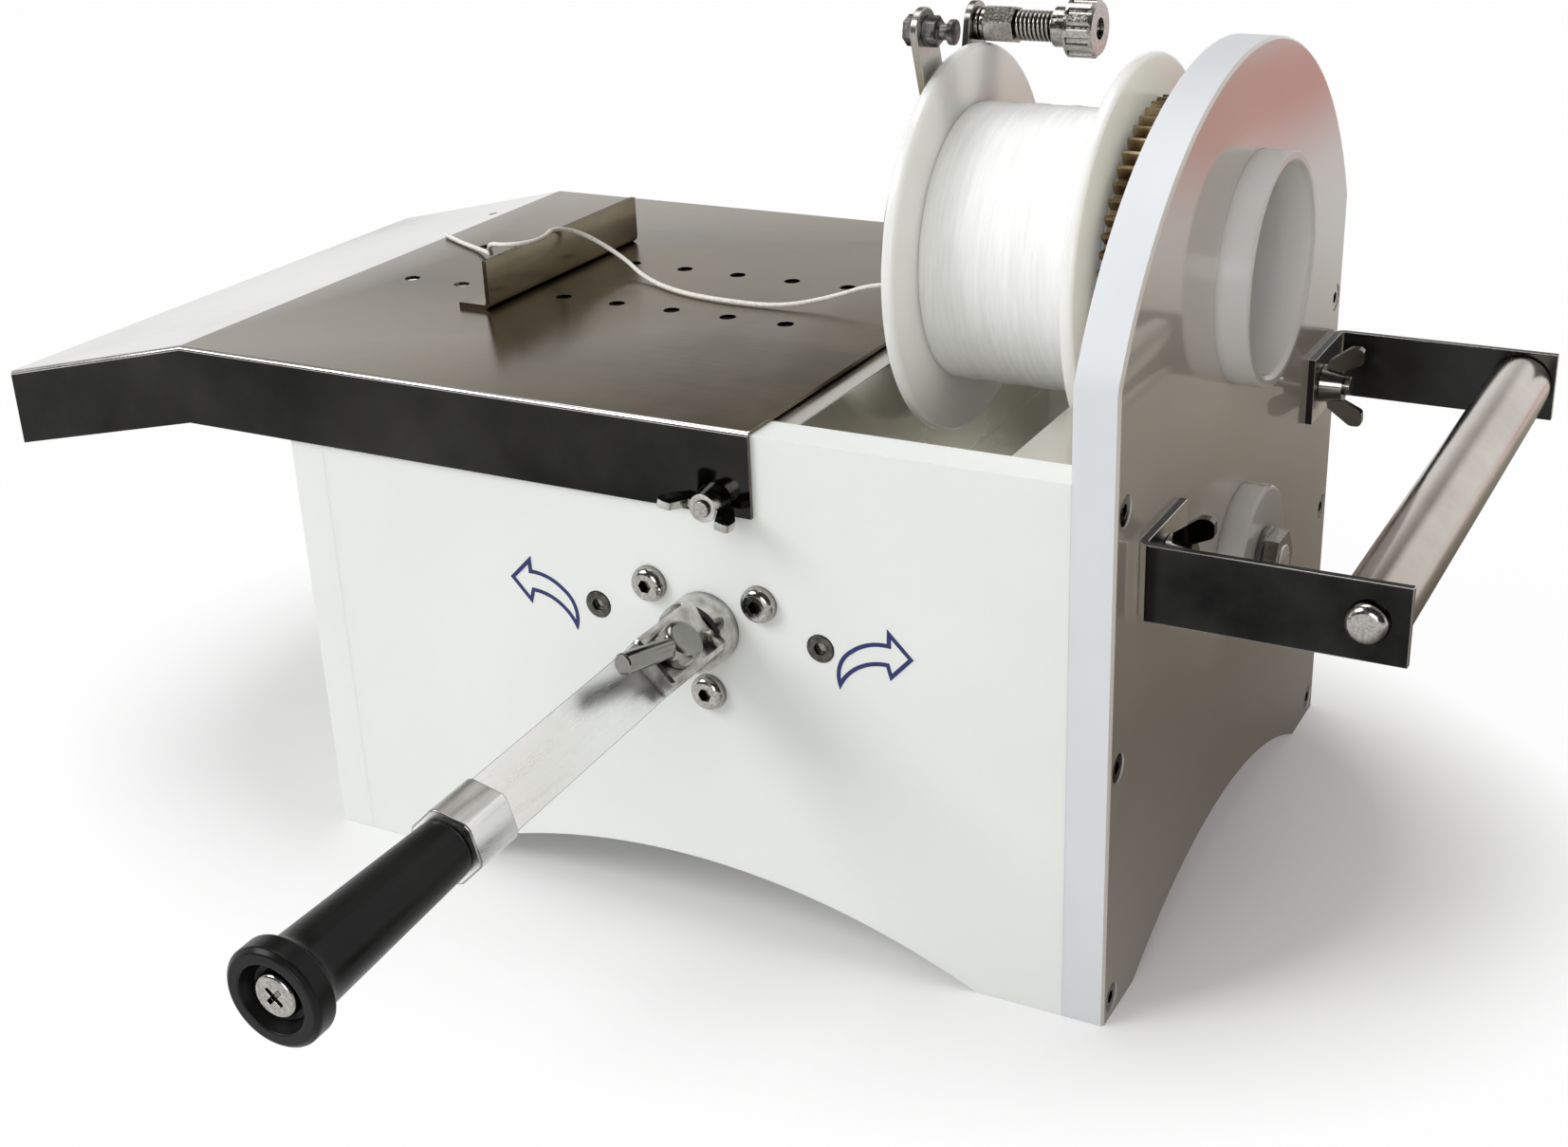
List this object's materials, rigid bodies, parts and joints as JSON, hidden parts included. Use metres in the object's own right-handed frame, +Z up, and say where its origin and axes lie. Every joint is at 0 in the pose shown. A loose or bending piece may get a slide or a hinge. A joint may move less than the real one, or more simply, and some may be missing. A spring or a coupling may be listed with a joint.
{
  "type": "sausage tying machine",
  "caption": "Table-top machine that ties sausage strings: a hand lever drives a thread spool and winding arm around a round passage, with a sloping feed table and a rest roller.",
  "frame": {"origin": "middle of the footprint's bounding box (with the lever at rest), on the floor the plates stand on", "axes": "+X along the machine from the feed table to the rest roller, +Y from the lever side to the back, +Z up"},
  "size_m": [0.5956, 0.5422, 0.3399],
  "materials": {
    "white_board": "milled polyethylene board, faintly waxy",
    "table_steel": "satin stainless sheet",
    "bright_steel": "polished steel",
    "screw_steel": "bright turned steel",
    "gear_steel": "cut steel with a trace of grease",
    "dark_steel": "blackened steel",
    "bracket_alloy": "milled alloy",
    "white_nylon": "turned nylon, slightly translucent",
    "black_plastic": "satin black plastic",
    "bar_steel": "bright flat bar",
    "twine_fibre": "twisted cotton fibre",
    "arrow_ink": "printed line"
  },
  "bodies": {
    "frame": {"front_plate": "white_board", "back_plate": "white_board", "left_plate": "white_board", "end_plate": "white_board", "left_plate_screws": "screw_steel", "end_plate_screws": "screw_steel", "lever_bearing": "bracket_alloy", "bearing_screws": "screw_steel", "gear_bracket": "bracket_alloy", "bracket_screws": "screw_steel", "table": "table_steel", "table_studs": "screw_steel", "stop": "table_steel", "stop_screws": "screw_steel", "deck": "table_steel", "cross_rail": "white_board", "keeper_ring": "white_nylon", "keeper_screws": "screw_steel", "shaft_boss": "white_nylon", "near_arm": "bar_steel", "far_arm": "bar_steel", "arm_studs": "screw_steel", "roller_rod": "screw_steel", "roller_screws": "screw_steel", "arrow_labels": "arrow_ink", "twine": "twine_fibre"},
    "lever_drive": {"lever_shaft": "bright_steel", "drive_bevel": "gear_steel", "hinge_bolt": "screw_steel"},
    "lever": {"lever_bar": "bar_steel", "grip_collar": "bright_steel", "grip_screw": "screw_steel"},
    "hand_grip": {"grip": "black_plastic"},
    "clamp": {"clamp_handle": "bright_steel"},
    "lower_shaft": {"cross_shaft": "bar_steel", "bevel_pinion": "gear_steel", "lower_gear": "gear_steel", "shaft_nut": "screw_steel"},
    "winding_head": {"spindle_tube": "white_nylon", "spindle_gear": "gear_steel", "flyer": "bar_steel", "flyer_hub": "bar_steel", "eyelet_bolt": "dark_steel", "tension_stud": "screw_steel", "tension_discs": "screw_steel", "tension_nut": "screw_steel", "tension_spring": "screw_steel", "spool_washer": "white_nylon"},
    "thread_spool": {"spool_core": "white_nylon", "spool_left_flange": "white_nylon", "spool_right_flange": "white_nylon", "wound_thread": "twine_fibre"},
    "tension_thumb_nut": {"thumb_nut": "screw_steel"},
    "rest_roller": {"roller": "bright_steel"},
    "front_table_nut": {"front_wing_nut": "screw_steel"},
    "back_table_nut": {"back_wing_nut": "screw_steel"},
    "near_bracket_nut": {"near_arm_nut": "screw_steel"},
    "far_bracket_nut": {"far_arm_nut": "screw_steel"}
  },
  "joints": [
    {"name": "lever_swing", "type": "hinge", "parent": "frame", "child": "lever_drive", "pos_m": [0.0477, -0.02275, 0.1305], "axis": [0, 1, 0], "range_deg": [-15, 105]},
    {"name": "lower_shaft_turn", "type": "hinge", "parent": "frame", "child": "lower_shaft", "pos_m": [0.1752, 0.11475, 0.1305], "axis": [1, 0, 0], "range_deg": [-45, 315]},
    {"name": "head_turn", "type": "hinge", "parent": "frame", "child": "winding_head", "pos_m": [0.1752, 0.11475, 0.2465], "axis": [1, 0, 0], "range_deg": [-315, 45]},
    {"name": "lever_fold", "type": "hinge", "parent": "lever_drive", "child": "lever", "pos_m": [0.0477, -0.05975, 0.1305], "axis": [-0.7071, 0, -0.7071], "range_deg": [0, 90]},
    {"name": "clamp_turn", "type": "hinge", "parent": "lever_drive", "child": "clamp", "pos_m": [0.0477, -0.05975, 0.1305], "axis": [0.7071, 0, 0.7071], "range_deg": [-60, 60]},
    {"name": "grip_spin", "type": "hinge", "parent": "lever", "child": "hand_grip", "pos_m": [0.0477, -0.05975, 0.1305], "axis": [0.0247, -0.9994, -0.0247], "continuous": true},
    {"name": "spool_spin", "type": "hinge", "parent": "winding_head", "child": "thread_spool", "pos_m": [0.1282, 0.11475, 0.2465], "axis": [1, 0, 0], "continuous": true},
    {"name": "thumb_nut_turn", "type": "hinge", "parent": "winding_head", "child": "tension_thumb_nut", "pos_m": [0.1312, 0.13236, 0.32659], "axis": [1, 0, 0], "continuous": true},
    {"name": "roller_spin", "type": "hinge", "parent": "frame", "child": "rest_roller", "pos_m": [0.2842, 0.11475, 0.1689], "axis": [0, 1, 0], "continuous": true},
    {"name": "front_nut_turn", "type": "hinge", "parent": "frame", "child": "front_table_nut", "pos_m": [0.0557, -0.03275, 0.183], "axis": [0, -1, 0], "continuous": true},
    {"name": "back_nut_turn", "type": "hinge", "parent": "frame", "child": "back_table_nut", "pos_m": [0.0557, 0.26225, 0.183], "axis": [0, 1, 0], "continuous": true},
    {"name": "near_nut_turn", "type": "hinge", "parent": "frame", "child": "near_bracket_nut", "pos_m": [0.2162, 0.02125, 0.1689], "axis": [1, 0, 0], "continuous": true},
    {"name": "far_nut_turn", "type": "hinge", "parent": "frame", "child": "far_bracket_nut", "pos_m": [0.2162, 0.22025, 0.1689], "axis": [1, 0, 0], "continuous": true}
  ],
  "couplings": [
    {"joint": "lower_shaft_turn", "follows": "lever_swing", "ratio": 3},
    {"joint": "head_turn", "follows": "lever_swing", "ratio": -3}
  ]
}
